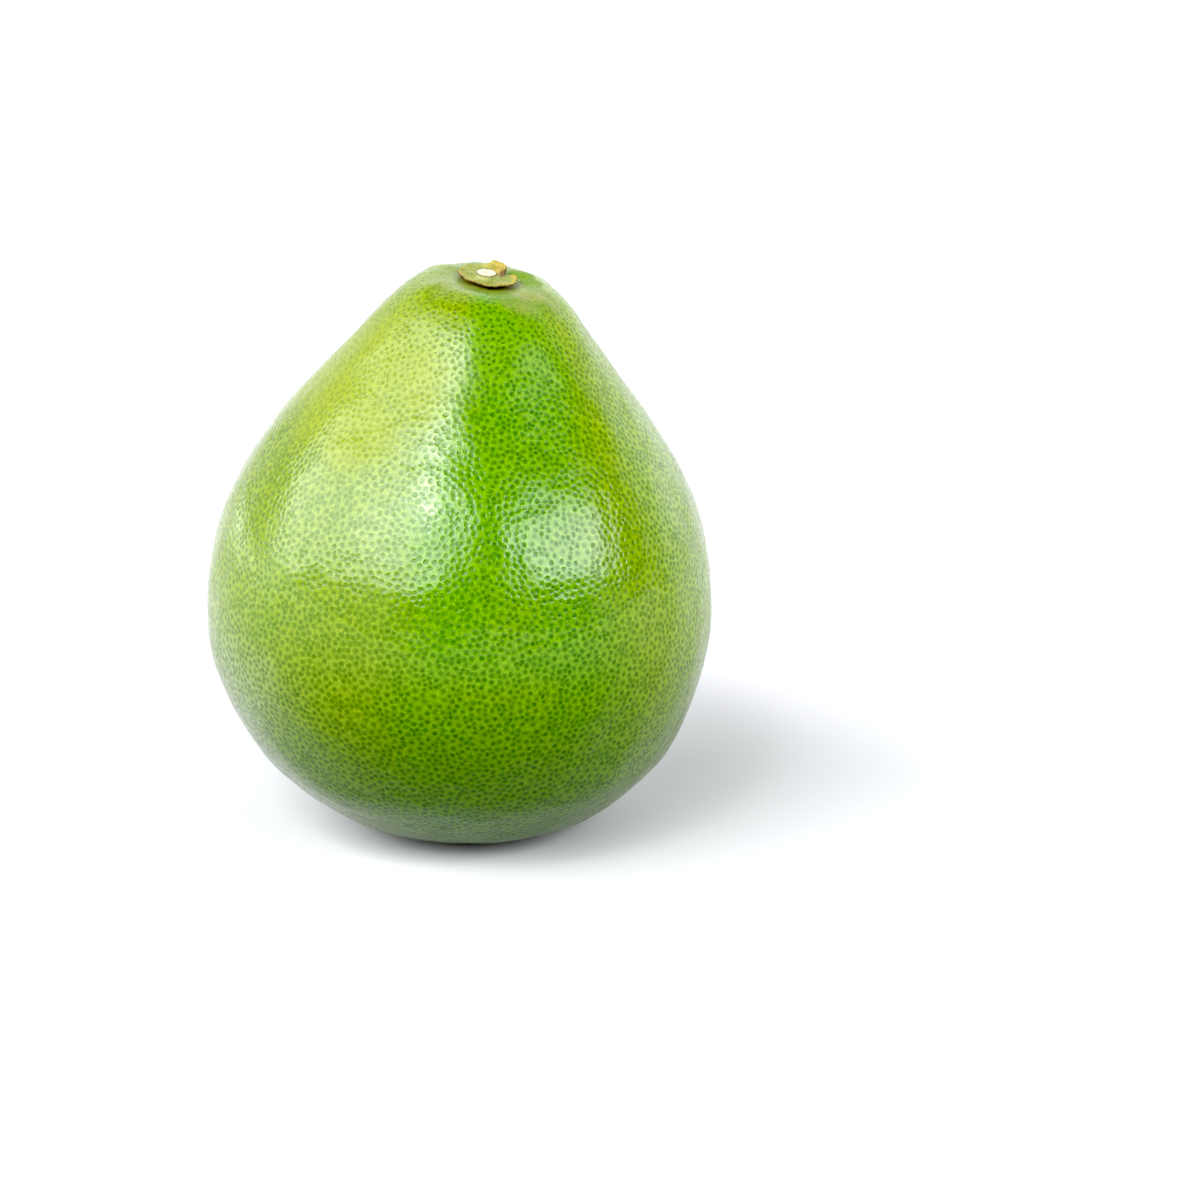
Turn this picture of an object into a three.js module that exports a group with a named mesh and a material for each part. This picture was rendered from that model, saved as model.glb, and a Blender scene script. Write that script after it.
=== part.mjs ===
// A whole green pomelo, pear-shaped, resting on its small flat base.
// Millimetres, +Z up. The origin is on the resting surface, under the middle
// of the fruit's bounding box.
import * as THREE from 'three';

// ---- driving dimensions (mm, degrees) ----

// Meridian of the fruit: [radius from the axis, height], base centre to crown centre.
const FLAT_RADIUS = 14.0;      // flat spot that the fruit rests on
const CROWN_HEIGHT = 168.02;   // height of the rim round the crown hollow
const RIM_RADIUS = 14.0;       // radius of that rim
const HOLLOW_DEPTH = 0.5;      // the calyx sits in a very shallow hollow
const PROFILE = [
  [0, 0],
  [FLAT_RADIUS, 0],
  [25.05, 1.06],
  [35.70, 4.22],
  [45.55, 9.35],
  [59.17, 21.65],
  [65.95, 31.95],
  [70.93, 43.29],
  [74.29, 55.66],
  [75.30, 69.06],
  [74.04, 82.46],
  [70.71, 95.86],
  [64.83, 109.26],
  [57.11, 121.63],
  [48.30, 132.97],
  [40.35, 142.76],
  [34.00, 151.01],
  [28.95, 157.71],
  [24.80, 162.35],
  [20.00, 166.25],
  [RIM_RADIUS, CROWN_HEIGHT],
  [8.0, CROWN_HEIGHT - 0.62 * HOLLOW_DEPTH],
  [0, CROWN_HEIGHT - HOLLOW_DEPTH],
];
const STEPS_PER_SPAN = 2;      // rings between two profile points
const SEGMENTS = 60;           // divisions round the axis

// The neck leans: the axis bends from BEND_START of the height upward.
const BEND_START = 0.30;
const BEND_POWER = 1.2;
const BEND_X = THREE.MathUtils.degToRad(5.65);   // crown leans to +X
const BEND_Y = THREE.MathUtils.degToRad(7.22);   // crown leans to -Y
const SWAY_1 = -3.54;          // sideways sway of the belly
const SWAY_2 = -0.63;

// Broad unevenness of the body: [waves round the axis, share of the radius, phase]
const LOBES = [[2, 0.0022, 0.4], [3, 0.0036, 2.2], [5, 0.0024, -1.1]];

// Where the flat spot's centre lies from the origin.
const AXIS_X = 3.720;
const AXIS_Y = -0.251;

// Calyx: a thin dry disc of five lobes round the stem.
const CALYX_HOLE = 3.35;       // radius of the hole that the stem stands in
const CALYX_GAP = 0.35;        // clearance to the rind below
const CALYX_THICK = 1.25;      // at the hole; it thins to the rim
const CALYX_RIM_THICK = 0.6;
// [direction in degrees, reach from the stem's axis, lift of the rim]
const CALYX_RIM = [
  [0, 8.9, 1.35], [14, 8.2, 1.2], [25, 6.6, 0.6], [36, 6.3, 0.5], [47, 8.2, 1.2],
  [58, 8.5, 2.1], [68, 8.8, 2.7], [77, 8.4, 2.9], [87, 7.9, 1.9], [100, 8.7, 1.0],
  [124, 9.2, 0.8], [146, 9.3, 0.8], [164, 8.5, 0.7], [180, 7.9, 0.7], [197, 6.9, 0.7],
  [219, 6.6, 0.7], [241, 6.0, 0.7], [257, 6.4, 0.7], [269, 7.5, 0.8], [283, 7.7, 0.8],
  [300, 7.9, 0.8], [315, 8.7, 0.9], [329, 9.4, 1.0], [345, 9.4, 1.2],
];
const CALYX_SEGMENTS = 72;
const CALYX_RINGS = 5;

// Stem: a short cut stub.
const STEM_RADIUS = 2.95;
const STEM_FOOT = 0.35;        // clearance to the rind below
const STEM_TOP = 3.00;         // height of the cut face over the crown's centre
const STEM_SEGMENTS = 28;

// ---- shared shape functions ----

const clamp = (v, lo, hi) => Math.min(hi, Math.max(lo, v));

// From straight-axis coordinates to the leaning fruit.
function lean(x, y, z) {
  const z0 = BEND_START * CROWN_HEIGHT;
  const u = Math.max(0, (z - z0) / (CROWN_HEIGHT - z0));
  const turn = Math.pow(u, BEND_POWER);
  const run = (CROWN_HEIGHT - z0) * Math.pow(u, BEND_POWER + 1) / (BEND_POWER + 1);
  const ax = BEND_X * turn;
  const ay = BEND_Y * turn;
  const t = Math.PI * clamp(z / CROWN_HEIGHT, 0, 1);
  const sway = SWAY_1 * Math.sin(t) + SWAY_2 * Math.sin(2 * t);
  return [
    x * Math.cos(ax) + BEND_X * run + sway + AXIS_X,
    y * Math.cos(ay) - BEND_Y * run + AXIS_Y,
    z - x * Math.sin(ax) + y * Math.sin(ay),
  ];
}

// Share by which the body swells in one direction at one height.
function swell(angle, z) {
  const w = Math.pow(Math.sin(Math.PI * clamp(z / CROWN_HEIGHT, 0, 1)), 0.8);
  let s = 0;
  for (const [n, a, p] of LOBES) s += a * Math.cos(n * angle + p);
  return 1 + w * s;
}

// Height of the rind near the crown's centre, for the pieces that sit there.
const crownCurve = new THREE.SplineCurve(
  PROFILE.map(([r, z]) => new THREE.Vector2(r, z)));
const crownSamples = crownCurve.getPoints(600).filter((p) => p.y > CROWN_HEIGHT - 8);
function crownHeight(r) {
  for (let i = crownSamples.length - 1; i > 0; i--) {
    const a = crownSamples[i], b = crownSamples[i - 1];
    if (r >= a.x && r <= b.x) {
      return a.y + (b.y - a.y) * (r - a.x) / Math.max(1e-9, b.x - a.x);
    }
  }
  return crownSamples[crownSamples.length - 1].y;
}

function indexed(positions, triangles) {
  const g = new THREE.BufferGeometry();
  g.setAttribute('position', new THREE.Float32BufferAttribute(positions, 3));
  g.setIndex(triangles);
  g.computeVertexNormals();
  return g;
}

// ---- the fruit ----

function fruitGeometry() {
  const outline = crownCurve
    .getPoints((PROFILE.length - 1) * STEPS_PER_SPAN)
    .map((p) => new THREE.Vector2(Math.max(0, p.x), Math.max(0, p.y)));
  outline[0].x = 0;
  outline[outline.length - 1].x = 0;
  const g = new THREE.LatheGeometry(outline, SEGMENTS);
  g.rotateX(Math.PI / 2);
  const p = g.getAttribute('position');
  for (let i = 0; i < p.count; i++) {
    const x = p.getX(i), y = p.getY(i), z = Math.max(0, p.getZ(i));
    const r = Math.hypot(x, y);
    const angle = Math.atan2(y, x);
    const k = r > 1e-6 ? swell(angle, z) : 1;
    const q = lean(x * k, y * k, z);
    p.setXYZ(i, q[0], q[1], q[2]);
  }
  g.computeVertexNormals();
  return g;
}

// ---- the calyx ----

// Smooth closed interpolation of the rim table.
function rimAt(degrees, column) {
  const n = CALYX_RIM.length;
  let i = n - 1;
  for (let k = 0; k < n; k++) if (CALYX_RIM[k][0] <= degrees) i = k;
  const at = (k) => {
    const j = ((k % n) + n) % n;
    const turns = Math.floor(k / n);
    return [CALYX_RIM[j][0] + 360 * turns, CALYX_RIM[j][column]];
  };
  const p0 = at(i - 1), p1 = at(i), p2 = at(i + 1), p3 = at(i + 2);
  const t = (degrees - p1[0]) / (p2[0] - p1[0]);
  const v0 = (p2[1] - p0[1]) / 2, v1 = (p3[1] - p1[1]) / 2;
  return (2 * p1[1] - 2 * p2[1] + v0 + v1) * t ** 3
    + (-3 * p1[1] + 3 * p2[1] - 2 * v0 - v1) * t ** 2 + v0 * t + p1[1];
}

function calyxGeometry() {
  const pos = [], tri = [];
  const rows = [];
  // one closed section: along the top from hole to rim, back along the underside
  for (let k = 0; k <= CALYX_RINGS; k++) rows.push([k / CALYX_RINGS, 1]);
  for (let k = CALYX_RINGS; k >= 0; k--) rows.push([k / CALYX_RINGS, 0]);
  const m = rows.length;
  for (let s = 0; s < CALYX_SEGMENTS; s++) {
    const deg = 360 * s / CALYX_SEGMENTS;
    const a = THREE.MathUtils.degToRad(deg);
    const reach = rimAt(deg, 1), lift = rimAt(deg, 2);
    for (const [f, top] of rows) {
      const r = CALYX_HOLE + (reach - CALYX_HOLE) * f;
      const under = crownHeight(r) + CALYX_GAP + lift * f ** 2.2;
      const thick = CALYX_THICK + (CALYX_RIM_THICK - CALYX_THICK) * f ** 1.4;
      pos.push(...lean(r * Math.cos(a), r * Math.sin(a), under + top * thick));
    }
  }
  for (let s = 0; s < CALYX_SEGMENTS; s++) {
    const n = (s + 1) % CALYX_SEGMENTS;
    for (let k = 0; k < m; k++) {
      const l = (k + 1) % m;
      const a = s * m + k, b = s * m + l, c = n * m + l, d = n * m + k;
      tri.push(a, b, c, a, c, d);
    }
  }
  return indexed(pos, tri);
}

// ---- the stem stub ----

function stemGeometry() {
  const c = crownHeight(0);
  const top = c + STEM_TOP;
  const outline = [
    [0, c + STEM_FOOT], [STEM_RADIUS - 0.25, c + STEM_FOOT], [STEM_RADIUS, c + STEM_FOOT + 0.3],
    [STEM_RADIUS, top - 0.35], [STEM_RADIUS - 0.3, top - 0.05], [1.6, top], [0, top],
  ].map(([r, z]) => new THREE.Vector2(r, z));
  const g = new THREE.LatheGeometry(outline, STEM_SEGMENTS);
  g.rotateX(Math.PI / 2);
  const p = g.getAttribute('position');
  for (let i = 0; i < p.count; i++) {
    const q = lean(p.getX(i), p.getY(i), p.getZ(i));
    p.setXYZ(i, q[0], q[1], q[2]);
  }
  g.computeVertexNormals();
  return g;
}

// ---- assembly ----

const pomelo = new THREE.Group();

const fruit = new THREE.Mesh(fruitGeometry(), new THREE.MeshStandardMaterial({
  color: 0x77b40f, roughness: 0.34, metalness: 0,
}));
fruit.name = 'fruit';
pomelo.add(fruit);

const calyx = new THREE.Mesh(calyxGeometry(), new THREE.MeshStandardMaterial({
  color: 0xb3ad4c, roughness: 0.7, metalness: 0,
}));
calyx.name = 'calyx';
pomelo.add(calyx);

const stem = new THREE.Mesh(stemGeometry(), new THREE.MeshStandardMaterial({
  color: 0xf4eed2, roughness: 0.8, metalness: 0,
}));
stem.name = 'stem_stub';
pomelo.add(stem);

export default pomelo;
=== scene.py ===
import math

import bmesh
import bpy
import numpy as np
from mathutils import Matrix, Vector


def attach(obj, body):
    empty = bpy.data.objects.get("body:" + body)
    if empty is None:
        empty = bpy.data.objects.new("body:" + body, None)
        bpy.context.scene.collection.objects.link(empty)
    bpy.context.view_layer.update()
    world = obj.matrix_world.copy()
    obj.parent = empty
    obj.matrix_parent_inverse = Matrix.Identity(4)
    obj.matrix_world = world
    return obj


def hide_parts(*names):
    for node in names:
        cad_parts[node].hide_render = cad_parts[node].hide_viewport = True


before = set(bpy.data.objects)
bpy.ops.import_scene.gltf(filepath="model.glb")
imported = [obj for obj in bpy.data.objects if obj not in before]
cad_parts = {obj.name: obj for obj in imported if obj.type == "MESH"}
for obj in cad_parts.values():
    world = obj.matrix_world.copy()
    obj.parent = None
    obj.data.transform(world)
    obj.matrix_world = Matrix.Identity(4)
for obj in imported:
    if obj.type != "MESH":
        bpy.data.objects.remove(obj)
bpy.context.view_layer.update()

RNG = np.random.default_rng(4522)
MM = 0.001

# ---------------------------------------------------------------- shape of the fruit (mm)
# The same meridian, lean and lobes as the fruit's solid.
CROWN = 168.02
HOLLOW = 0.5
PROFILE = np.array([
    [0, 0], [14.0, 0], [25.05, 1.06], [35.70, 4.22], [45.55, 9.35], [59.17, 21.65],
    [65.95, 31.95], [70.93, 43.29], [74.29, 55.66], [75.30, 69.06], [74.04, 82.46],
    [70.71, 95.86], [64.83, 109.26], [57.11, 121.63], [48.30, 132.97], [40.35, 142.76],
    [34.00, 151.01], [28.95, 157.71], [24.80, 162.35], [20.00, 166.25], [14.0, CROWN],
    [8.0, CROWN - 0.62 * HOLLOW], [0, CROWN - HOLLOW],
])
BEND_START, BEND_POWER = 0.30, 1.2
BEND_X, BEND_Y = math.radians(5.65), math.radians(7.22)
SWAY_1, SWAY_2 = -3.54, -0.63
LOBES = ((2, 0.0022, 0.4), (3, 0.0036, 2.2), (5, 0.0024, -1.1))
AXIS_X, AXIS_Y = 3.720, -0.251


def spline(points, n):
    """Uniform Catmull-Rom through the points, n samples."""
    p = np.asarray(points, float)
    m = len(p)
    t = np.linspace(0, m - 1, n)
    i = np.minimum(t.astype(int), m - 2)
    w = (t - i)[:, None]
    p0 = p[np.maximum(i - 1, 0)]
    p1, p2 = p[i], p[i + 1]
    p3 = p[np.minimum(i + 2, m - 1)]
    p0 = np.where((i == 0)[:, None], p1, p0)
    p3 = np.where((i > m - 3)[:, None], p2, p3)
    v0, v1 = (p2 - p0) / 2, (p3 - p1) / 2
    return (2 * p1 - 2 * p2 + v0 + v1) * w ** 3 + (-3 * p1 + 3 * p2 - 2 * v0 - v1) * w ** 2 + v0 * w + p1


def lean(p):
    """From straight-axis coordinates to the leaning fruit, mm."""
    x, y, z = p[..., 0], p[..., 1], p[..., 2]
    z0 = BEND_START * CROWN
    u = np.maximum(0, (z - z0) / (CROWN - z0))
    turn = u ** BEND_POWER
    run = (CROWN - z0) * u ** (BEND_POWER + 1) / (BEND_POWER + 1)
    ax, ay = BEND_X * turn, BEND_Y * turn
    t = np.pi * np.clip(z / CROWN, 0, 1)
    sway = SWAY_1 * np.sin(t) + SWAY_2 * np.sin(2 * t)
    return np.stack([
        x * np.cos(ax) + BEND_X * run + sway + AXIS_X,
        y * np.cos(ay) - BEND_Y * run + AXIS_Y,
        z - x * np.sin(ax) + y * np.sin(ay),
    ], -1)


def swell(a, z):
    w = np.sin(np.pi * np.clip(z / CROWN, 0, 1)) ** 0.8
    s = sum(k * np.cos(n * a + p) for n, k, p in LOBES)
    return 1 + w * s


FINE = spline(PROFILE, 12001)
FINE[:, 0] = np.maximum(FINE[:, 0], 0)
FINE[:, 1] = np.maximum(FINE[:, 1], 0)
FINE[0, 0] = FINE[-1, 0] = 0
STEP = np.hypot(*np.diff(FINE, axis=0).T)
ARC = np.concatenate([[0], np.cumsum(STEP)])
# isometric latitude: carries the fruit's skin to the unit sphere without shear
RMID = np.maximum((FINE[1:, 0] + FINE[:-1, 0]) / 2, 1e-3)
ISO = np.concatenate([[0], np.cumsum(STEP / RMID)])
ISO -= np.interp(ARC[-1] * 0.47, ARC, ISO)


def crown_height(r):
    """Height of the rind at a radius near the crown's centre."""
    top = FINE[FINE[:, 1] > CROWN - 12][::-1]
    return np.interp(r, top[:, 0], top[:, 1])


def smooth(e0, e1, v):
    t = np.clip((v - e0) / (e1 - e0), 0, 1)
    return t * t * (3 - 2 * t)


def waves(p, size, count, seed):
    """Smooth solid unevenness, about -1 to 1, with features of the given size in mm."""
    g = np.random.default_rng(seed)
    k = g.normal(size=(count, 3))
    k *= (2 * np.pi / size) * g.uniform(0.7, 1.3, (count, 1)) / np.linalg.norm(k, axis=1, keepdims=True)
    f = g.uniform(0, 2 * np.pi, count)
    return np.sin(p @ k.T + f).sum(-1) / math.sqrt(count)


def skin(s, a):
    """Point on the rind at arc length s from the base and direction a, mm."""
    r = np.interp(s, ARC, FINE[:, 0])
    z = np.interp(s, ARC, FINE[:, 1])
    k = swell(a, z)
    straight = np.stack([r * k * np.cos(a), r * k * np.sin(a), z], -1)
    return lean(straight), straight


# ---------------------------------------------------------------- outline of the calyx
# [direction in degrees, reach from the stem's axis, lift of the rim], as on the calyx's solid
CALYX_RIM = np.array([
    [0, 8.9, 1.35], [14, 8.2, 1.2], [25, 6.6, 0.6], [36, 6.3, 0.5], [47, 8.2, 1.2],
    [58, 8.5, 2.1], [68, 8.8, 2.7], [77, 8.4, 2.9], [87, 7.9, 1.9], [100, 8.7, 1.0],
    [124, 9.2, 0.8], [146, 9.3, 0.8], [164, 8.5, 0.7], [180, 7.9, 0.7], [197, 6.9, 0.7],
    [219, 6.6, 0.7], [241, 6.0, 0.7], [257, 6.4, 0.7], [269, 7.5, 0.8], [283, 7.7, 0.8],
    [300, 7.9, 0.8], [315, 8.7, 0.9], [329, 9.4, 1.0], [345, 9.4, 1.2],
])


def rim_at(deg, column):
    """Smooth closed interpolation of the rim table."""
    x = np.concatenate([CALYX_RIM[-2:, 0] - 360, CALYX_RIM[:, 0], CALYX_RIM[:3, 0] + 360])
    y = np.concatenate([CALYX_RIM[-2:, column], CALYX_RIM[:, column], CALYX_RIM[:3, column]])
    i = np.clip(np.searchsorted(x, deg, side="right") - 1, 1, len(x) - 3)
    t = (deg - x[i]) / (x[i + 1] - x[i])
    v0, v1 = (y[i + 1] - y[i - 1]) / 2, (y[i + 2] - y[i]) / 2
    return ((2 * y[i] - 2 * y[i + 1] + v0 + v1) * t ** 3
            + (-3 * y[i] + 3 * y[i + 1] - 2 * v0 - v1) * t ** 2 + v0 * t + y[i])


# ---------------------------------------------------------------- helpers
def mesh_object(name, co, faces, smooth_shade=True):
    me = bpy.data.meshes.new(name)
    me.from_pydata([tuple(c) for c in co], [], [tuple(f) for f in faces])
    me.update()
    if smooth_shade:
        me.shade_smooth()
    ob = bpy.data.objects.new(name, me)
    bpy.context.scene.collection.objects.link(ob)
    return ob


def tri_mesh_object(name, co, tris):
    """Fast build of a triangle mesh from arrays."""
    me = bpy.data.meshes.new(name)
    me.vertices.add(len(co))
    me.vertices.foreach_set("co", np.ascontiguousarray(co, np.float32).ravel())
    me.loops.add(len(tris) * 3)
    me.loops.foreach_set("vertex_index", np.ascontiguousarray(tris, np.int32).ravel())
    me.polygons.add(len(tris))
    me.polygons.foreach_set("loop_start", np.arange(0, len(tris) * 3, 3, dtype=np.int32))
    me.update(calc_edges=True)
    me.validate()
    me.shade_smooth()
    ob = bpy.data.objects.new(name, me)
    bpy.context.scene.collection.objects.link(ob)
    return ob


def vertex_normals(co, tris):
    a, b, c = co[tris[:, 0]], co[tris[:, 1]], co[tris[:, 2]]
    n = np.cross(b - a, c - a)
    out = np.zeros_like(co)
    for k in range(3):
        for d in range(3):
            out[:, d] += np.bincount(tris[:, k], n[:, d], len(co))
    return out / np.maximum(np.linalg.norm(out, axis=1, keepdims=True), 1e-12)


def sphere_triangles(d):
    """Delaunay triangles of directions on the unit sphere. Returns (kept rows, triangles facing out)."""
    me = bpy.data.meshes.new("hull_tmp")
    me.vertices.add(len(d))
    me.vertices.foreach_set("co", np.ascontiguousarray(d, np.float32).ravel())
    bm = bmesh.new()
    bm.from_mesh(me)
    bpy.data.meshes.remove(me)
    bmesh.ops.convex_hull(bm, input=bm.verts[:], use_existing_faces=False)
    bm.verts.index_update()
    tris = np.array([[v.index for v in f.verts] for f in bm.faces if len(f.verts) == 3], int)
    bm.free()
    kept = np.unique(tris)
    back = np.full(len(d), -1)
    back[kept] = np.arange(len(kept))
    tris = back[tris]
    e = d[kept]
    a, b, c = e[tris[:, 0]], e[tris[:, 1]], e[tris[:, 2]]
    flip = (np.cross(b - a, c - a) * (a + b + c)).sum(1) < 0
    tris[flip] = tris[flip][:, ::-1]
    return kept, tris


def to_sphere(s, a):
    q = np.interp(s, ARC, ISO)
    c = 1 / np.cosh(q)
    return np.stack([c * np.cos(a), c * np.sin(a), np.tanh(q)], -1)


def from_sphere(d):
    d = d / np.linalg.norm(d, axis=-1, keepdims=True)
    q = np.arctanh(np.clip(d[..., 2], -1 + 1e-12, 1 - 1e-12))
    return np.interp(q, ISO, ARC), np.arctan2(d[..., 1], d[..., 0])


# ---------------------------------------------------------------- the rind: one cell for each oil gland
def gland_sites():
    """Even but irregular places of the oil glands, as directions on the unit sphere."""
    left = ARC[-1] - ARC                                    # way to the crown's centre
    cell = 4.35 - 1.25 * np.exp(-(left / 60.0) ** 2) - 0.9 * np.exp(-(left / 27.0) ** 2) - 0.5 * np.exp(-(ARC / 35.0) ** 2)   # mm2 for a gland
    per = np.concatenate([[0], np.cumsum(STEP * 2 * np.pi * RMID / ((cell[1:] + cell[:-1]) / 2))])
    n = int(per[-1])
    i = np.arange(n) + 0.5
    s = np.interp(i, per, ARC)
    a = (i * math.pi * (3 - math.sqrt(5))) % (2 * math.pi)
    gap = np.sqrt(np.interp(s, ARC, cell))
    r = np.maximum(np.interp(s, ARC, FINE[:, 0]), 0.8)
    s = np.clip(s + RNG.normal(0, 0.42, n) * gap, 0.4, ARC[-1] - 0.4)
    a = a + RNG.normal(0, 0.42, n) * gap / r
    d = to_sphere(s, a)
    for _ in range(2):
        kept, tris = sphere_triangles(d)
        d = d[kept]
        total = np.zeros_like(d)
        count = np.zeros(len(d))
        for k in range(3):
            for m in (1, 2):
                j = tris[:, (k + m) % 3]
                for c in range(3):
                    total[:, c] += np.bincount(tris[:, k], d[j, c], len(d))
                count += np.bincount(tris[:, k], minlength=len(d))
        mean = total / count[:, None]
        d = d + 0.62 * (mean - d)
        d /= np.linalg.norm(d, axis=1, keepdims=True)
    kept, tris = sphere_triangles(d)
    return d[kept], tris


def crown_relief(straight, left):
    """Soft furrows that run down from the calyx, mm along the normal."""
    a = np.arctan2(straight[:, 1], straight[:, 0])
    w = smooth(7.0, 13.0, left) * (1 - smooth(22.0, 44.0, left))
    f = (np.cos(7 * a + 0.8 + 0.5 * np.sin(a)) + 0.7 * np.cos(11 * a - 1.3) + 0.5 * np.cos(17 * a + 2.0)) / 2.2
    return 0.26 * w * f


def build_fruit():
    d, tris = gland_sites()
    n = len(d)
    mid = d[tris].mean(1)
    mid /= np.linalg.norm(mid, axis=1, keepdims=True)
    dirs = np.vstack([d, mid])
    s, a = from_sphere(dirs)
    co, straight = skin(s, a)
    # two cell triangles for each edge between neighbouring glands
    f = np.arange(len(tris))
    e = np.vstack([np.stack([tris[:, k], tris[:, (k + 1) % 3], f], 1) for k in range(3)])
    key = np.sort(e[:, :2], 1)
    order = np.lexsort((key[:, 1], key[:, 0]))
    e, key = e[order], key[order]
    one, two = e[0::2], e[1::2]
    assert (key[0::2] == key[1::2]).all()
    # "one" runs p->q with its triangle on the left
    p, q, t1, t2 = one[:, 0], one[:, 1], one[:, 2] + n, two[:, 2] + n
    cells = np.vstack([np.stack([p, t2, t1], 1), np.stack([q, t1, t2], 1)])
    normal = vertex_normals(co, cells)
    if (normal * (co - co.mean(0))).sum(1).mean() < 0:
        cells = cells[:, ::-1]
        normal = -normal
    left = ARC[-1] - s
    base = s
    uneven = 0.16 * waves(straight, 34.0, 9, 7) + 0.10 * waves(straight, 15.0, 9, 8) + 0.045 * waves(straight, 6.0, 12, 9) \
        + 0.018 * waves(straight, 3.2, 16, 10)
    calm = smooth(0.0, 30.0, base) * smooth(5.0, 14.0, left)
    move = uneven * calm + crown_relief(straight, left)
    rnd = RNG.uniform(0, 1, n)
    pit = np.zeros(len(co))
    pit[:n] = (0.045 + 0.04 * rnd) * (0.25 + 0.75 * smooth(9.0, 26.0, left[:n])) * (0.5 + 0.5 * smooth(6.0, 30.0, base[:n]))
    # scar of the style at the base's centre
    scar = -0.5 * (1 - smooth(1.2, 3.6, base))
    co = co + normal * (move - pit + scar)[:, None]
    co[:, 2] = np.maximum(co[:, 2], 0.0)
    ob = tri_mesh_object("pomelo_rind", co * MM, cells)
    me = ob.data
    nf = len(cells)
    site = cells.min(1)                                     # glands are the first n vertices
    at = me.attributes.new("gland_site", "FLOAT_VECTOR", "FACE")
    at.data.foreach_set("vector", (co[site] * MM).astype(np.float32).ravel())
    at = me.attributes.new("gland_random", "FLOAT", "FACE")
    at.data.foreach_set("value", rnd[site].astype(np.float32))
    at = me.attributes.new("crown_way", "FLOAT", "POINT")
    at.data.foreach_set("value", left.astype(np.float32))
    at = me.attributes.new("base_way", "FLOAT", "POINT")
    at.data.foreach_set("value", base.astype(np.float32))
    outside = np.clip(left - rim_at(np.degrees(a) % 360.0, 1), -20.0, 60.0)
    at = me.attributes.new("calyx_way", "FLOAT", "POINT")
    at.data.foreach_set("value", outside.astype(np.float32))
    ang = np.stack([np.cos(a), np.sin(a), np.zeros_like(a)], 1)
    at = me.attributes.new("around", "FLOAT_VECTOR", "POINT")
    at.data.foreach_set("vector", ang.astype(np.float32).ravel())
    box_map(me, dirs, cells)
    print("rind:", n, "glands,", nf, "triangles")
    return ob


def box_map(me, dirs, cells):
    """UV map of six squares, one for each side that the skin faces, three across and two up."""
    m = dirs[cells].mean(1)
    axis = np.abs(m).argmax(1)
    sign = np.sign(m[np.arange(len(m)), axis])
    cell = axis * 2 + (sign < 0)
    uv = np.zeros((len(cells), 3, 2))
    others = {0: (1, 2), 1: (0, 2), 2: (0, 1)}
    for k in range(6):
        ax = k // 2
        pick = cell == k
        if not pick.any():
            continue
        d = dirs[cells[pick]]
        u = d[..., others[ax][0]] / np.abs(d[..., ax])
        v = d[..., others[ax][1]] / np.abs(d[..., ax])
        u, v = np.arctan(u) / (math.pi / 4), np.arctan(v) / (math.pi / 4)
        if (k % 2) ^ (ax == 1):
            u = -u
        edge = 0.955
        x = ((k % 3) + 0.5 + 0.5 * edge * u) / 3
        y = ((k // 3) + 0.5 + 0.5 * edge * v) / 2
        uv[pick, :, 0], uv[pick, :, 1] = x, y
    layer = me.uv_layers.new(name="OFBake")
    layer.data.foreach_set("uv", uv.astype(np.float32).ravel())


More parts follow.
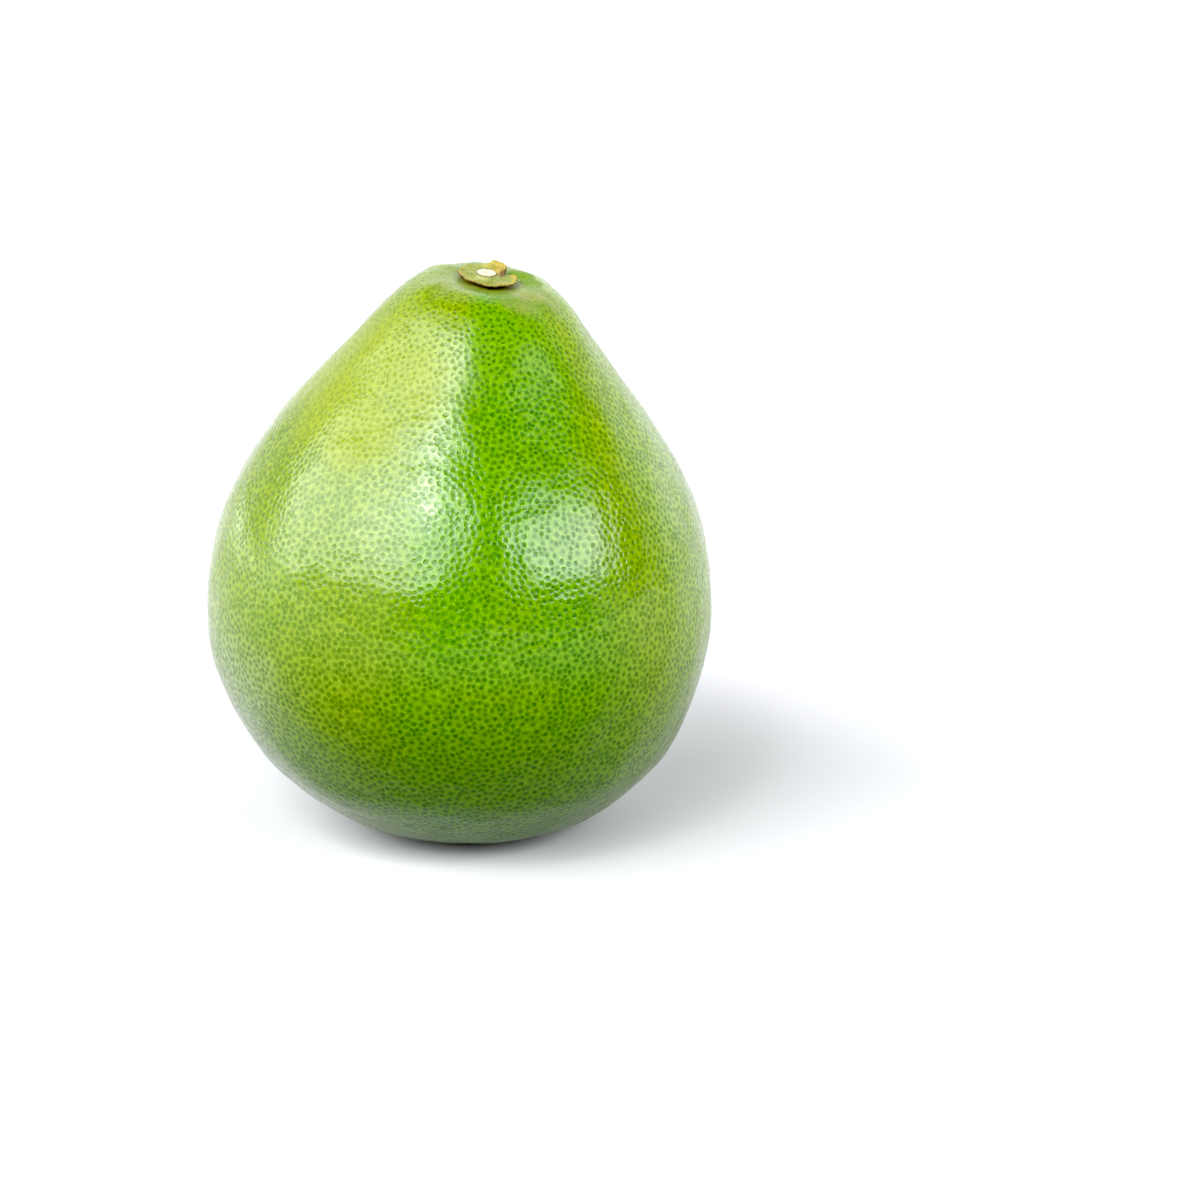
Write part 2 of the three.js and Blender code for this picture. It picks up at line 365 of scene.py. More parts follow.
# ---------------------------------------------------------------- node helpers
class Nodes:
    """Small writer for a material's node tree."""

    def __init__(self, name):
        self.mat = bpy.data.materials.new(name)
        self.mat.use_nodes = True
        self.t = self.mat.node_tree
        self.t.nodes.clear()
        self.out = self.t.nodes.new("ShaderNodeOutputMaterial")
        self.bsdf = self.t.nodes.new("ShaderNodeBsdfPrincipled")
        self.t.links.new(self.bsdf.outputs[0], self.out.inputs[0])

    def put(self, socket, v):
        if hasattr(v, "is_linked") or isinstance(v, bpy.types.NodeSocket):
            self.t.links.new(v, socket)
        else:
            socket.default_value = v

    def node(self, kind, **inputs):
        n = self.t.nodes.new(kind)
        for k, v in inputs.items():
            self.put(n.inputs[k], v)
        return n

    def math(self, op, a, b=0.0, c=0.0, clamp=False):
        n = self.t.nodes.new("ShaderNodeMath")
        n.operation = op
        n.use_clamp = clamp
        self.put(n.inputs[0], a)
        self.put(n.inputs[1], b)
        self.put(n.inputs[2], c)
        return n.outputs[0]

    def vec(self, op, a, b=(0, 0, 0)):
        n = self.t.nodes.new("ShaderNodeVectorMath")
        n.operation = op
        self.put(n.inputs[0], a)
        self.put(n.inputs[1], b)
        return n.outputs["Value"] if op in ("LENGTH", "DISTANCE", "DOT_PRODUCT") else n.outputs[0]

    def ramp(self, v, lo, hi, out_lo=0.0, out_hi=1.0, kind="SMOOTHSTEP"):
        n = self.t.nodes.new("ShaderNodeMapRange")
        n.interpolation_type = kind
        n.clamp = True
        self.put(n.inputs["Value"], v)
        self.put(n.inputs["From Min"], lo)
        self.put(n.inputs["From Max"], hi)
        self.put(n.inputs["To Min"], out_lo)
        self.put(n.inputs["To Max"], out_hi)
        return n.outputs[0]

    def mix(self, f, a, b, blend="MIX"):
        n = self.t.nodes.new("ShaderNodeMix")
        n.data_type = "RGBA"
        n.blend_type = blend
        self.put(n.inputs[0], f)
        self.put(n.inputs[6], a)
        self.put(n.inputs[7], b)
        return n.outputs[2]

    def attr(self, name, out="Fac"):
        n = self.t.nodes.new("ShaderNodeAttribute")
        n.attribute_name = name
        return n.outputs[out]

    def obj(self):
        if not hasattr(self, "_obj"):
            self._obj = self.t.nodes.new("ShaderNodeTexCoord").outputs["Object"]
        return self._obj

    def noise(self, scale, detail=2.0, rough=0.5, vector=None, distort=0.0):
        n = self.t.nodes.new("ShaderNodeTexNoise")
        self.put(n.inputs["Vector"], vector if vector is not None else self.obj())
        n.inputs["Scale"].default_value = scale
        n.inputs["Detail"].default_value = detail
        n.inputs["Roughness"].default_value = rough
        n.inputs["Distortion"].default_value = distort
        return n.outputs["Fac"]


def srgb(r, g, b, k=0.47):
    """Colour as it shows on screen under the studio light, k = share of it that the surface reflects."""
    f = lambda c: k * (c / 12.92 if c <= 0.04045 else ((c + 0.055) / 1.055) ** 2.4)
    return (f(r / 255), f(g / 255), f(b / 255), 1.0)


# ---------------------------------------------------------------- materials
GREEN_LOW, GREEN_TOP = -78.0, -69.0      # middle of the deep green band on the belly and on the neck, degrees from +X


def towards(degrees):
    a = math.radians(degrees)
    return (math.cos(a), math.sin(a), 0.0)


def rind_material():
    m = Nodes("rind_green")
    P = m.obj()
    site = m.attr("gland_site", "Vector")
    rnd = m.attr("gland_random")
    rnd2 = m.math("FRACT", m.math("MULTIPLY", rnd, 7.31))
    way = m.attr("crown_way")
    base = m.attr("base_way")
    around = m.attr("around", "Vector")
    z = m.t.nodes.new("ShaderNodeSeparateXYZ")
    m.t.links.new(P, z.inputs[0])
    high = z.outputs["Z"]
    n1 = m.noise(14.0, 2.0, 0.5)
    n2 = m.noise(52.0, 3.0, 0.55)
    n3 = m.noise(420.0, 2.0, 0.6)
    n4 = m.noise(1050.0, 2.0, 0.55)
    n5 = m.noise(3000.0, 2.0, 0.62)
    r0 = m.math("MULTIPLY", m.vec("DISTANCE", P, site), 1000.0)         # mm from the gland's centre
    r0 = m.math("DIVIDE", r0, m.ramp(way, 12.0, 55.0, 0.70, 1.0))       # smaller glands on the crown
    r = m.math("MULTIPLY_ADD", m.math("SUBTRACT", n4, 0.5), 0.55, r0)   # the glands aren't quite round
    # yellower sides with one deep green band between them, greener towards the base; painted shade darkens it towards
    # the base
    up = m.ramp(high, 0.108, 0.150)
    side = m.math("ADD", m.math("MULTIPLY", m.vec("DOT_PRODUCT", around, towards(GREEN_TOP)), up),
                  m.math("MULTIPLY", m.vec("DOT_PRODUCT", around, towards(GREEN_LOW)), m.math("SUBTRACT", 1.0, up)))
    side = m.math("MULTIPLY_ADD", m.math("SUBTRACT", n1, 0.5), 0.35, side)
    tone = m.ramp(side, 0.98, 0.78)
    tone = m.math("MULTIPLY", tone, m.ramp(high, 0.020, 0.075, 0.35, 1.0))
    tone = m.math("MULTIPLY_ADD", m.ramp(n1, 0.36, 0.66), 0.22, m.math("MULTIPLY", tone, 0.78))
    net = m.mix(tone, (0.062, 0.202, 0.0003, 1), (0.124, 0.204, 0.0007, 1))
    net = m.mix(m.ramp(n2, 0.44, 0.70, 0.0, 0.35), net, (0.128, 0.216, 0.0012, 1))
    net = m.mix(m.ramp(n3, 0.40, 0.72, 0.0, 0.35), net, m.mix(tone, (0.125, 0.267, 0.0012, 1), (0.196, 0.267, 0.0035, 1)))
    # lighter ridges of the net half-way between the glands
    ridge = m.ramp(r, 0.74, 1.12)
    net = m.mix(m.math("MULTIPLY", ridge, m.ramp(n4, 0.34, 0.66, 0.22, 0.86)), net,
                m.mix(tone, (0.150, 0.325, 0.0025, 1), (0.244, 0.334, 0.0120, 1)))
    dark = m.mix(tone, (0.015, 0.097, 0.0001, 1), (0.047, 0.116, 0.0003, 1))
    size = m.math("MULTIPLY_ADD", rnd, 0.26, 0.42)
    q = m.math("DIVIDE", r, size)
    dot = m.ramp(q, 0.20, 1.45, 1.0, 0.0)
    keep = m.math("MULTIPLY", m.ramp(way, 5.0, 13.0, 0.3, 1.0), m.ramp(rnd2, 0.0, 1.0, 0.50, 1.0, "LINEAR"))
    dot = m.math("MULTIPLY", dot, keep)
    # the glands stand out less on the left of the belly
    calm = m.math("MULTIPLY", m.ramp(high, 0.066, 0.088), m.ramp(high, 0.152, 0.125))
    calm = m.math("MULTIPLY", calm, m.ramp(m.vec("DOT_PRODUCT", around, towards(-122)), 0.70, 0.90))
    calm = m.math("MULTIPLY_ADD", calm, -0.42, 1.0)
    strength = m.math("MAXIMUM", m.ramp(tone, 0.0, 1.0, 0.97, 0.76, "LINEAR"), m.ramp(high, 0.060, 0.092, 0.97, 0.0))
    col = m.mix(m.math("MULTIPLY", dot, m.math("MULTIPLY", strength, calm)), net, dark)
    # one shoulder is ripening: pale and yellow, with blurred bounds
    ripe = None
    for spot, size in (((-0.029, -0.024, 0.146), 0.026), ((-0.038, 0.000, 0.144), 0.024), ((-0.026, -0.040, 0.132), 0.015),
                       ((-0.013, -0.044, 0.150), 0.016)):
        d = m.math("DIVIDE", m.vec("DISTANCE", P, spot), size)
        d = m.math("MULTIPLY_ADD", m.math("SUBTRACT", n2, 0.5), 0.9, d)
        blob = m.ramp(d, 0.45, 1.25, 1.0, 0.0)
        ripe = blob if ripe is None else m.math("MAXIMUM", ripe, blob)
    col = m.mix(m.math("MULTIPLY", ripe, 0.60), col, m.mix(m.math("MULTIPLY", dot, 0.6), (0.275, 0.331, 0.0103, 1), (0.129, 0.202, 0.0034, 1)))
    # painted shade: the colour darkens towards the base, where shade falls; it is also lighter towards the right side
    # and varied by the fine grain
    painted_shade_and_grain = m.ramp(high, 0.010, 0.090, 0.35, 0.775)
    painted_shade_and_grain = m.math("MULTIPLY", painted_shade_and_grain, m.ramp(tone, 0.0, 1.0, 1.09, 1.06, "LINEAR"))
    painted_shade_and_grain = m.math("MULTIPLY", painted_shade_and_grain, m.ramp(m.vec("DOT_PRODUCT", around, towards(5)), 0.35, 0.90, 1.0, 1.18))
    painted_shade_and_grain = m.math("MULTIPLY", painted_shade_and_grain, m.ramp(n5, 0.34, 0.66, 0.79, 1.24))                            # fine grain
    shade = m.t.nodes.new("ShaderNodeVectorMath")
    shade.operation = "SCALE"
    m.t.links.new(col, shade.inputs[0])
    m.t.links.new(painted_shade_and_grain, shade.inputs["Scale"])
    col = shade.outputs[0]
    # painted reflection: a pale sheen of the white surroundings low on the left side, most on the ridges
    wander = m.math("MULTIPLY_ADD", m.math("SUBTRACT", n2, 0.5), 0.24, m.math("MULTIPLY", m.math("SUBTRACT", n1, 0.5), 0.20))
    painted_reflection = m.math("ADD", m.vec("DOT_PRODUCT", around, towards(-170)), wander)
    painted_reflection = m.math("MULTIPLY", m.ramp(painted_reflection, 0.78, 0.95), m.ramp(high, 0.090, 0.050))
    painted_reflection = m.math("MULTIPLY", painted_reflection, m.ramp(m.vec("DOT_PRODUCT", around, towards(-90)), -0.45, 0.20))
    painted_reflection = m.math("MULTIPLY", painted_reflection, m.math("MULTIPLY_ADD", ridge, 0.11, 0.095))
    col = m.mix(painted_reflection, col, (0.46, 0.47, 0.42, 1))
    # pale dull ring round the calyx, streaked down from it
    streak = m.noise(6.0, 3.0, 0.6, vector=around)
    reach = m.math("ADD", way, m.math("MULTIPLY_ADD", streak, -9.0, 4.5))
    reach = m.math("MULTIPLY_ADD", m.ramp(m.vec("DOT_PRODUCT", around, towards(-104)), 0.78, 0.98), 5.0, reach)
    reach = m.math("MULTIPLY_ADD", m.ramp(m.vec("DOT_PRODUCT", around, towards(-38)), 0.74, 0.97), -8.0, reach)
    pale = m.ramp(reach, 11.0, 20.0, 1.0, 0.0)
    green = None
    for spot, size in (((0.0190, 0.0004, 0.1679), 0.0042), ((0.0222, -0.0042, 0.1670), 0.0042)):
        d = m.math("DIVIDE", m.vec("DISTANCE", P, spot), size)
        d = m.math("MULTIPLY_ADD", m.math("SUBTRACT", n3, 0.5), 0.8, d)
        blob = m.ramp(d, 0.70, 1.15, 1.0, 0.0)
        green = blob if green is None else m.math("MAXIMUM", green, blob)
    mottle = m.ramp(m.noise(170.0, 3.0, 0.6), 0.36, 0.64)
    ring = m.mix(mottle, (0.112, 0.184, 0.020, 1), (0.194, 0.228, 0.048, 1))
    ring = m.mix(m.ramp(m.vec("DISTANCE", P, (0.0200, -0.0169, 0.1654)), 0.0042, 0.0018, 0.0, 0.50), ring, (0.225, 0.180, 0.062, 1))
    col = m.mix(m.math("MULTIPLY", pale, m.ramp(n3, 0.35, 0.65, 0.58, 0.86)), col, ring)
    col = m.mix(m.math("MULTIPLY", green, 0.92), col, m.mix(dot, (0.118, 0.212, 0.0004, 1), (0.050, 0.125, 0.0003, 1)))
    pale = m.math("MULTIPLY", pale, m.math("SUBTRACT", 1.0, green))
    # painted shade: the rind turns brown under the calyx's margin, where the lifted rim shades it
    out = m.attr("calyx_way")
    col = m.mix(m.ramp(out, -0.9, 0.7, 0.80, 0.0), col, (0.150, 0.122, 0.008, 1))
    # scar of the style at the base
    col = m.mix(m.ramp(base, 2.2, 3.6, 0.85, 0.0), col, (0.087, 0.052, 0.0130, 1))
    col = m.mix(m.ramp(base, 4.0, 26.0, 0.35, 0.0), col, (0.155, 0.208, 0.0173, 1))
    # small tan specks
    v = m.t.nodes.new("ShaderNodeTexVoronoi")
    v.feature = "F1"
    m.t.links.new(P, v.inputs["Vector"])
    v.inputs["Scale"].default_value = 62.0
    sep = m.t.nodes.new("ShaderNodeSeparateColor")
    m.t.links.new(v.outputs["Color"], sep.inputs[0])
    speck = m.math("MULTIPLY", m.ramp(v.outputs["Distance"], 0.030, 0.058, 1.0, 0.0),
                   m.ramp(sep.outputs[0], 0.90, 0.93))
    col = m.mix(m.math("MULTIPLY", speck, 0.75), col, (0.130, 0.096, 0.0173, 1))
    m.put(m.bsdf.inputs["Base Color"], col)
    # gloss: waxy belly, duller neck and crown
    neck = m.ramp(way, 30.0, 85.0, 1.0, 0.0)
    rough = m.ramp(n2, 0.30, 0.70, 0.11, 0.18)
    rough = m.math("ADD", rough, m.math("MULTIPLY", neck, 0.13))
    rough = m.math("ADD", rough, m.math("MULTIPLY", pale, 0.10))
    rough = m.math("ADD", rough, m.math("MULTIPLY", dot, 0.08))
    rough = m.math("ADD", rough, m.math("MULTIPLY", green, 0.30))
    m.put(m.bsdf.inputs["Roughness"], rough)
    m.bsdf.inputs["IOR"].default_value = 1.52
    tint = m.mix(m.math("MULTIPLY", dot, calm), (1.0, 1.0, 1.0, 1), (0.52, 0.58, 0.44, 1))
    shoulder = m.math("MULTIPLY", m.ramp(way, 96.0, 62.0), m.ramp(m.vec("DOT_PRODUCT", around, towards(-42)), 0.52, 0.86))
    low_dull = m.math("MULTIPLY", m.ramp(high, 0.056, 0.088, 1.0, 0.0),
                      m.ramp(m.math("ADD", m.vec("DOT_PRODUCT", around, towards(196)), wander), 0.70, 0.95, 1.0, 0.0))
    low_dull = m.math("MULTIPLY", low_dull, m.ramp(m.vec("DOT_PRODUCT", around, towards(-62)), -0.20, 0.45))
    dull = m.math("MAXIMUM", green, m.math("MAXIMUM", shoulder, low_dull))
    dull = m.math("MAXIMUM", dull, m.math("MULTIPLY", ripe, 0.42))
    m.put(m.bsdf.inputs["Specular Tint"], m.mix(m.math("MULTIPLY", dull, 0.78), tint, (0.06, 0.08, 0.03, 1)))
    # relief: flat-bottomed dimples at the glands, crested ridges between them, an uneven fine grain
    dimple = m.math("MULTIPLY", m.ramp(r, 0.30, 1.05), m.math("MULTIPLY_ADD", rnd2, 0.6, 0.6))
    dimple = m.math("MULTIPLY", dimple, m.ramp(way, 9.0, 24.0, 0.30, 1.0))
    fine = m.noise(620.0, 2.0, 0.55)
    h = m.math("MULTIPLY_ADD", fine, 1.10, dimple)
    h = m.math("MULTIPLY_ADD", n4, 0.30, h)
    h = m.math("MULTIPLY_ADD", n5, 0.26, h)
    bump = m.t.nodes.new("ShaderNodeBump")
    bump.inputs["Strength"].default_value = 1.0
    bump.inputs["Distance"].default_value = 0.000054
    m.t.links.new(h, bump.inputs["Height"])
    m.t.links.new(bump.outputs[0], m.bsdf.inputs["Normal"])
    return m.mat


# ---------------------------------------------------------------- calyx
def build_calyx():
    seg, rings = 360, 34
    deg = np.arange(seg) * 360.0 / seg
    a = np.radians(deg)
    jag = 0.14 * np.sin(9 * a + 0.4) + 0.10 * np.sin(17 * a + 2.1) + 0.07 * np.sin(31 * a + 0.9) + 0.04 * np.sin(53 * a)
    reach = rim_at(deg, 1) + jag
    lift = rim_at(deg, 2)
    hole = 3.00 + 0.015 * np.sin(5 * a + 1.0)
    f = np.linspace(0, 1, rings + 1)
    F, A = np.meshgrid(f, a)
    D = np.degrees(A)
    R = hole[:, None] + (reach - hole)[:, None] * F
    under = crown_height(R) + 0.35 + lift[:, None] * F ** 2.2
    thick = 1.25 - 0.70 * F ** 1.3
    # dried relief of the upper side: ribs to the lobes' tips, cross wrinkles, a thick rolled margin
    rib = 0.10 * np.cos(13 * A + 2.6 * np.sin(2 * A + 0.6) + 1.4 * np.sin(5 * A)) * np.sin(np.pi * F) ** 0.7
    wr = 0.08 * np.sin(2.1 * R + 2.4 * np.sin(3 * A)) * F + 0.05 * np.cos(37 * A + 6 * F) * F
    bead = 0.20 * np.exp(-((F - 0.90) / 0.07) ** 2) - 0.12 * np.exp(-((F - 0.74) / 0.06) ** 2)
    # the back lobe's right edge stands up as a steep fold over the gap beside it
    fold = 0.95 * smooth(34.0, 43.0, D) * (1 - smooth(46.0, 70.0, D)) * smooth(0.10, 0.55, F) \
        - 0.30 * smooth(16.0, 26.0, D) * (1 - smooth(32.0, 38.0, D)) * F
    collar = 0.95 * np.exp(-(F / 0.16) ** 2)
    top = under + thick + rib + wr + bead + fold + collar
    low = under + 0.05 * np.sin(23 * A) * F
    # rounded rim: the two sides meet in one middle row
    rim_mid = (top[:, -1] + low[:, -1]) / 2
    rows, hts = [], []
    for k in range(rings):
        rows.append(R[:, k]); hts.append(top[:, k])
    rows.append(R[:, -1] - 0.05); hts.append(top[:, -1] - 0.06)
    rows.append(R[:, -1] + 0.06); hts.append(rim_mid)
    rows.append(R[:, -1] - 0.05); hts.append(low[:, -1] + 0.06)
    for k in range(rings - 1, -1, -2):
        rows.append(R[:, k]); hts.append(low[:, k])
    rows.append(hole - 0.03); hts.append((top[:, 0] + low[:, 0]) / 2)
    m = len(rows)
    pts = np.stack([np.stack([r * np.cos(a), r * np.sin(a), h], -1) for r, h in zip(rows, hts)], 1)   # seg, m, 3
    co = lean(pts.reshape(-1, 3)) * MM
    quads = []
    for s in range(seg):
        n = (s + 1) % seg
        for k in range(m):
            l = (k + 1) % m
            quads.append((s * m + k, s * m + l, n * m + l, n * m + k))
    ob = mesh_object("calyx_disc", co, quads)
    me = ob.data
    share = np.concatenate([f[:-1], [0.99, 1.0, 0.99], f[:-1][::-1][::2], [0.0]])
    share = share[:m] if len(share) >= m else np.pad(share, (0, m - len(share)))
    at = me.attributes.new("rim_share", "FLOAT", "POINT")
    at.data.foreach_set("value", np.tile(share, seg).astype(np.float32))
    side = np.concatenate([np.ones(rings + 1), [0.5], np.zeros(m - rings - 2)])
    at = me.attributes.new("upper", "FLOAT", "POINT")
    at.data.foreach_set("value", np.tile(side, seg).astype(np.float32))
    ang = np.repeat(np.stack([np.cos(a), np.sin(a), np.zeros(seg)], 1), m, axis=0)
    at = me.attributes.new("around", "FLOAT_VECTOR", "POINT")
    at.data.foreach_set("vector", ang.astype(np.float32).ravel())
    return ob


def calyx_material():
    m = Nodes("calyx_dry")
    share = m.attr("rim_share")
    upper = m.attr("upper")
    around = m.attr("around", "Vector")
    n1 = m.noise(260.0, 3.0, 0.6)
    n2 = m.noise(1100.0, 3.0, 0.65)
    ray = m.noise(9.0, 3.0, 0.6, vector=around)
    col = m.mix(m.ramp(n1, 0.35, 0.65), srgb(160, 176, 66), srgb(204, 206, 118))
    col = m.mix(m.ramp(ray, 0.40, 0.62, 0.0, 0.55), col, srgb(138, 156, 52))
    col = m.mix(m.ramp(n2, 0.54, 0.74, 0.0, 0.40), col, srgb(130, 116, 44))
    # tan fold and brownish back lobe
    tan = m.math("MULTIPLY", m.ramp(m.vec("DOT_PRODUCT", around, towards(50)), 0.90, 0.98), m.ramp(share, 0.04, 0.16))
    col = m.mix(m.math("MULTIPLY", tan, 0.80), col, m.mix(m.ramp(n1, 0.4, 0.6), srgb(206, 160, 60), srgb(226, 190, 86)))
    lobe = m.math("MULTIPLY", m.ramp(m.vec("DOT_PRODUCT", around, towards(76)), 0.93, 0.99), m.ramp(share, 0.30, 0.60))
    col = m.mix(m.math("MULTIPLY", lobe, 0.70), col, m.mix(m.ramp(n1, 0.4, 0.6), srgb(176, 156, 46), srgb(206, 188, 72)))
    front = m.ramp(m.vec("DOT_PRODUCT", around, towards(-80)), 0.55, 0.90, 0.0, 0.14)
    edge = m.math("MULTIPLY", m.ramp(m.math("ADD", share, front), 0.72, 0.86), m.ramp(share, 0.93, 0.98, 1.0, 0.35))
    rear = m.ramp(m.vec("DOT_PRODUCT", around, towards(128)), 0.55, 0.90, 1.0, 0.35)
    edge = m.math("MULTIPLY", edge, rear)
    col = m.mix(m.math("MULTIPLY", edge, m.ramp(n1, 0.3, 0.6, 0.65, 0.95)), col, srgb(218, 198, 72))
    # painted shade: the rounded rim is a dry brown painted darker, for the dark gap under the margin
    painted_rim_shade = m.ramp(share, 0.95, 0.995)
    col = m.mix(m.math("MULTIPLY", painted_rim_shade, m.ramp(n1, 0.3, 0.6, 0.45, 0.95)), col, srgb(118, 84, 24))
    col = m.mix(m.ramp(share, 0.0, 0.06, 0.35, 0.0), col, srgb(190, 190, 110))
    notch = m.math("MULTIPLY", m.ramp(m.vec("DOT_PRODUCT", around, towards(33)), 0.975, 0.996), m.ramp(share, 0.30, 0.70))
    col = m.mix(m.math("MULTIPLY", notch, 0.75), col, srgb(120, 72, 24))
    # painted shade: the underside, seen at the rim's side, is painted a darker brown
    col = m.mix(m.ramp(upper, 0.45, 0.75, 0.90, 0.0), col, srgb(126, 104, 34))
    m.put(m.bsdf.inputs["Base Color"], col)
    m.put(m.bsdf.inputs["Roughness"], m.ramp(n2, 0.3, 0.7, 0.50, 0.72))
    bump = m.t.nodes.new("ShaderNodeBump")
    bump.inputs["Strength"].default_value = 0.8
    bump.inputs["Distance"].default_value = 0.00012
    m.t.links.new(m.math("MULTIPLY_ADD", n2, 0.7, n1), bump.inputs["Height"])
    m.t.links.new(bump.outputs[0], m.bsdf.inputs["Normal"])
    return m.mat


# ---------------------------------------------------------------- stem stub
def build_stem():
    seg = 160
    a = np.arange(seg) * 2 * np.pi / seg
    c = float(crown_height(0.0))
    top = c + 3.00
    rows = [(0.30, c + 0.35), (2.2, c + 0.35), (2.68, c + 0.38), (2.84, c + 0.62), (2.87, c + 1.2), (2.87, c + 1.9),
            (2.87, c + 2.5), (2.86, top - 0.22), (2.78, top - 0.06), (2.62, top - 0.08), (2.45, top - 0.02)]
    rows += [(r, top - 0.02) for r in (2.2, 1.9, 1.6, 1.3, 1.0, 0.75, 0.5, 0.25)]
    pts = []
    for k, (r, h) in enumerate(rows):
        side = 1.0 if 2 <= k <= 9 else 0.4
        rr = r + side * (0.035 * np.sin(11 * a + 0.5 * k) + 0.03 * np.sin(23 * a) + 0.03 * np.sin(4 * a + 1.0))
        rr = np.minimum(rr, 2.93)
        hh = np.full(seg, h)
        if k >= 7:
            p = np.stack([rr * np.cos(a), rr * np.sin(a)], 1)
            hh = hh + 0.09 * np.sin(1.7 * p[:, 0] + 0.6) * np.cos(1.3 * p[:, 1]) + 0.05 * np.sin(5.2 * p[:, 0] - 3.1 * p[:, 1]) \
                + 0.03 * np.sin(9.0 * p[:, 1] + 4.0 * p[:, 0])
        pts.append(np.stack([rr * np.cos(a), rr * np.sin(a), hh], 1))
    grid = np.stack(pts, 1)
    m = len(rows)
    co = grid.reshape(-1, 3)
    co = np.vstack([co, [[0, 0, c + 0.35]], [[0, 0, top - 0.08]]])
    first, last = len(co) - 2, len(co) - 1
    faces = []
    for s in range(seg):
        n = (s + 1) % seg
        for k in range(m - 1):
            faces.append((s * m + k, n * m + k, n * m + k + 1, s * m + k + 1))
        faces.append((first, n * m, s * m))
        faces.append((last, s * m + m - 1, n * m + m - 1))
    ob = mesh_object("stem_cut", lean(co) * MM, faces)
    me = ob.data
    rad = np.hypot(co[:, 0], co[:, 1])
    at = me.attributes.new("from_axis", "FLOAT", "POINT")
    at.data.foreach_set("value", rad.astype(np.float32))
    at = me.attributes.new("rise", "FLOAT", "POINT")
    at.data.foreach_set("value", (co[:, 2] - c).astype(np.float32))
    ang = np.stack([co[:, 0] / np.maximum(rad, 1e-6), co[:, 1] / np.maximum(rad, 1e-6), rad * 0], 1)
    at = me.attributes.new("around", "FLOAT_VECTOR", "POINT")
    at.data.foreach_set("vector", ang.astype(np.float32).ravel())
    return ob


def stem_material():
    m = Nodes("stem_wood")
    rad = m.attr("from_axis")
    rise = m.attr("rise")
    around = m.attr("around", "Vector")
    n1 = m.noise(900.0, 3.0, 0.6)
    n2 = m.noise(3200.0, 2.0, 0.6)
    ray = m.noise(16.0, 2.0, 0.6, vector=around)
    face = m.mix(m.ramp(n1, 0.35, 0.7), srgb(254, 250, 230, 0.54), srgb(236, 228, 188, 0.54))
    face = m.mix(m.ramp(ray, 0.5, 0.7, 0.0, 0.35), face, srgb(222, 208, 150))
    face = m.mix(m.ramp(rad, 0.9, 0.35, 0.0, 0.4), face, srgb(214, 206, 150))
    face = m.mix(m.ramp(rad, 2.50, 2.85, 0.0, 0.55), face, srgb(214, 208, 140))
    bark = m.mix(m.ramp(n1, 0.35, 0.65), srgb(126, 128, 52), srgb(160, 140, 70))
    on_side = m.math("MULTIPLY", m.ramp(rad, 2.60, 2.80), m.ramp(rise, 2.94, 2.70))
    col = m.mix(on_side, face, bark)
    m.put(m.bsdf.inputs["Base Color"], col)
    m.put(m.bsdf.inputs["Roughness"], m.ramp(n2, 0.3, 0.7, 0.62, 0.8))
    bump = m.t.nodes.new("ShaderNodeBump")
    bump.inputs["Strength"].default_value = 0.7
    bump.inputs["Distance"].default_value = 0.0001
    m.t.links.new(m.math("MULTIPLY_ADD", n2, 0.5, n1), bump.inputs["Height"])
    m.t.links.new(bump.outputs[0], m.bsdf.inputs["Normal"])
    return m.mat


# ---------------------------------------------------------------- make the pieces
rind = build_fruit()
rind.data.materials.append(rind_material())
calyx = build_calyx()
calyx.data.materials.append(calyx_material())
stem = build_stem()
stem.data.materials.append(stem_material())
for piece, node, slot in ((rind, "fruit", "rind"), (calyx, "calyx", "calyx"), (stem, "stem_stub", "stem")):
    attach(piece, "root")
    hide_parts(node)


# ---------------------------------------------------------------- camera, floor and light
def aim(ob, at):
    ob.rotation_euler = (Vector(at) - ob.location).to_track_quat("-Z", "Y").to_euler()


ELEV = math.radians(18.0)
DIST = 1.100
TARGET = Vector((0.04206, -0.00025, 0.06841))
cam_data = bpy.data.cameras.new("camera")
cam_data.lens = 110.0
cam_data.sensor_width = 36.0
cam_data.clip_end = 50.0
cam = bpy.data.objects.new("camera", cam_data)
bpy.context.scene.collection.objects.link(cam)
cam.location = TARGET + Vector((0, -DIST * math.cos(ELEV), DIST * math.sin(ELEV)))
aim(cam, TARGET)
bpy.context.scene.camera = cam

floor_me = bpy.data.meshes.new("floor")
S = 8.0
floor_me.from_pydata([(-S, -S, -0.0001), (S, -S, -0.0001), (S, S, -0.0001), (-S, S, -0.0001)], [], [(0, 1, 2, 3)])
floor = bpy.data.objects.new("floor", floor_me)
bpy.context.scene.collection.objects.link(floor)
fm = Nodes("floor_white")
fm.put(fm.bsdf.inputs["Base Color"], fm.mix(fm.ramp(fm.noise(3.0), 0.3, 0.7), (0.61, 0.61, 0.61, 1), (0.63, 0.63, 0.63, 1)))
fm.bsdf.inputs["Roughness"].default_value = 0.7
fm.bsdf.inputs["Specular IOR Level"].default_value = 0.1
floor_me.materials.append(fm.mat)


world = bpy.data.worlds.new("studio")
bpy.context.scene.world = world
world.use_nodes = True
wt = world.node_tree
bg = wt.nodes["Background"]
bg.inputs[0].default_value = (0.98, 0.993, 1.035, 1.0)
sky = wt.nodes.new("ShaderNodeTexCoord").outputs["Generated"]


def w_math(op, a, b=0.0):
    n = wt.nodes.new("ShaderNodeMath")
    n.operation = op
    for i, v in enumerate((a, b)):
        if isinstance(v, bpy.types.NodeSocket):
            wt.links.new(v, n.inputs[i])
        else:
            n.inputs[i].default_value = v
    return n.outputs[0]


def w_dot(d):
    n = wt.nodes.new("ShaderNodeVectorMath")
    n.operation = "DOT_PRODUCT"
    wt.links.new(sky, n.inputs[0])
    n.inputs[1].default_value = tuple(d)
    return n.outputs["Value"]


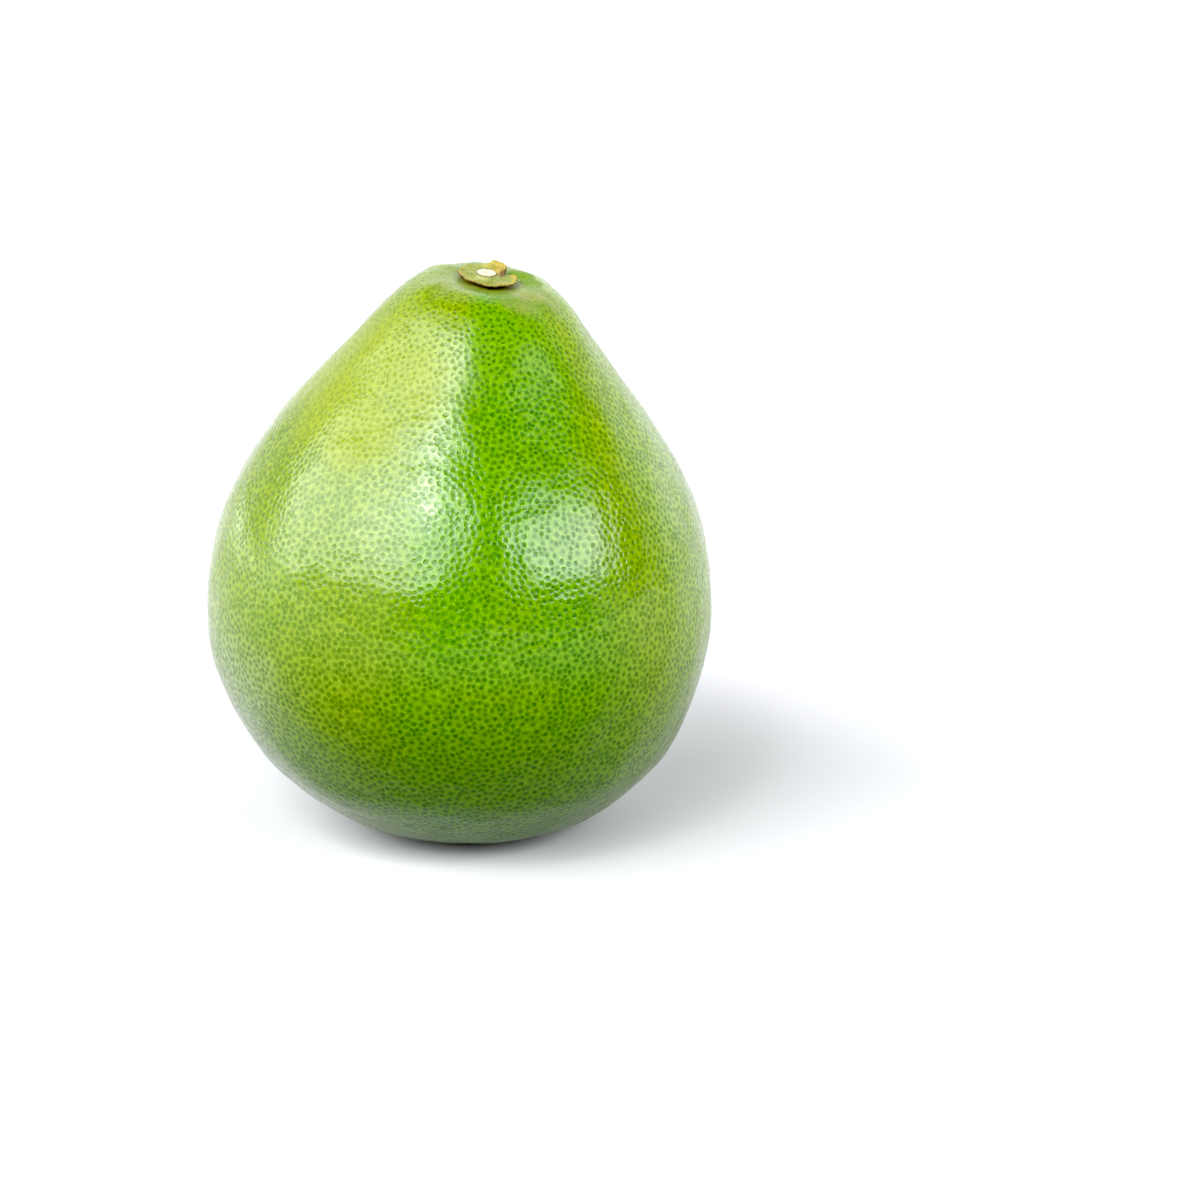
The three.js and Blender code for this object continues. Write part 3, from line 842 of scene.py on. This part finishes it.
def w_range(v, lo, hi, a=0.0, b=1.0):
    n = wt.nodes.new("ShaderNodeMapRange")
    n.interpolation_type = "SMOOTHSTEP"
    n.inputs["From Min"].default_value = lo
    n.inputs["From Max"].default_value = hi
    n.inputs["To Min"].default_value = a
    n.inputs["To Max"].default_value = b
    wt.links.new(v, n.inputs["Value"])
    return n.outputs[0]


def far_softbox(az, el, half_width, half_height, level, edge=3.0, roll=0.0, hot=None):
    """A large distant rectangle of light at az (0 = front, + = right) and el; half sizes and edge in degrees."""
    az, el, roll = math.radians(az), math.radians(el), math.radians(roll)
    fwd = Vector((math.sin(az) * math.cos(el), -math.cos(az) * math.cos(el), math.sin(el)))
    side = Vector((math.cos(az), math.sin(az), 0.0))
    up = side.cross(fwd) * -1.0
    if up.z < 0:
        up = -up
    side, up = side * math.cos(roll) + up * math.sin(roll), up * math.cos(roll) - side * math.sin(roll)
    f = w_dot(fwd)
    fm = w_math("MAXIMUM", f, 0.02)
    u = w_math("DIVIDE", w_dot(side), fm)
    v = w_math("DIVIDE", w_dot(up), fm)
    t = lambda d: math.tan(math.radians(d))
    out = w_math("MULTIPLY",
                 w_range(w_math("ABSOLUTE", u), t(half_width - edge), t(half_width + edge), 1.0, 0.0),
                 w_range(w_math("ABSOLUTE", v), t(half_height - edge), t(half_height + edge), 1.0, 0.0))
    out = w_math("MULTIPLY", out, w_range(f, 0.03, 0.08, 0.0, level))
    if hot:
        hu, hv, size, gain = hot
        du, dv = w_math("SUBTRACT", u, t(hu)), w_math("SUBTRACT", v, t(hv))
        d = w_math("SQRT", w_math("ADD", w_math("MULTIPLY", du, du), w_math("MULTIPLY", dv, dv)))
        out = w_math("MULTIPLY", out, w_range(d, 0.0, t(size), gain, 1.0))
    return out


key = far_softbox(-59.0, 38.0, 45.0, 20.0, 5.95, edge=4.5, roll=13.0, hot=(21, 6, 34, 1.38))
core = w_math("ADD", far_softbox(-23, 52, 5.0, 5.0, 14.0, edge=2.5), far_softbox(-46, 37, 9.0, 3.5, 2.5, edge=2.5))
core = w_math("ADD", core, far_softbox(-44, 8, 18, 4.0, 1.6, edge=3.5))
key = w_math("ADD", key, core)
fill = far_softbox(57, 28.5, 25, 14.0, 7.9, edge=3.0, roll=-14.0)
low_left = far_softbox(-98, 0.0, 38, 3.5, 4.6, edge=5.0)
X, Y, Z = w_dot((1, 0, 0)), w_dot((0, 1, 0)), w_dot((0, 0, 1))
# dark room with a pale wall low behind, brighter to the right
wall = w_math("MULTIPLY", w_range(Y, 0.05, 0.60), w_range(Z, 0.55, 0.92, 1.0, 0.12))
wall = w_math("MULTIPLY", wall, w_range(X, -0.8, 0.5, 1.0, 2.1))
bg_level = w_math("ADD", w_math("ADD", key, fill), w_math("ADD", w_math("ADD", wall, low_left), 0.03))
wt.links.new(bg_level, bg.inputs[1])

view = bpy.context.scene.view_settings
view.view_transform = "Standard"
view.look = "None"
view.exposure = 0.0
view.gamma = 1.0
view.use_curve_mapping = True
view.curve_mapping.black_level = (0.026, 0.026, 0.026)
view.curve_mapping.update()
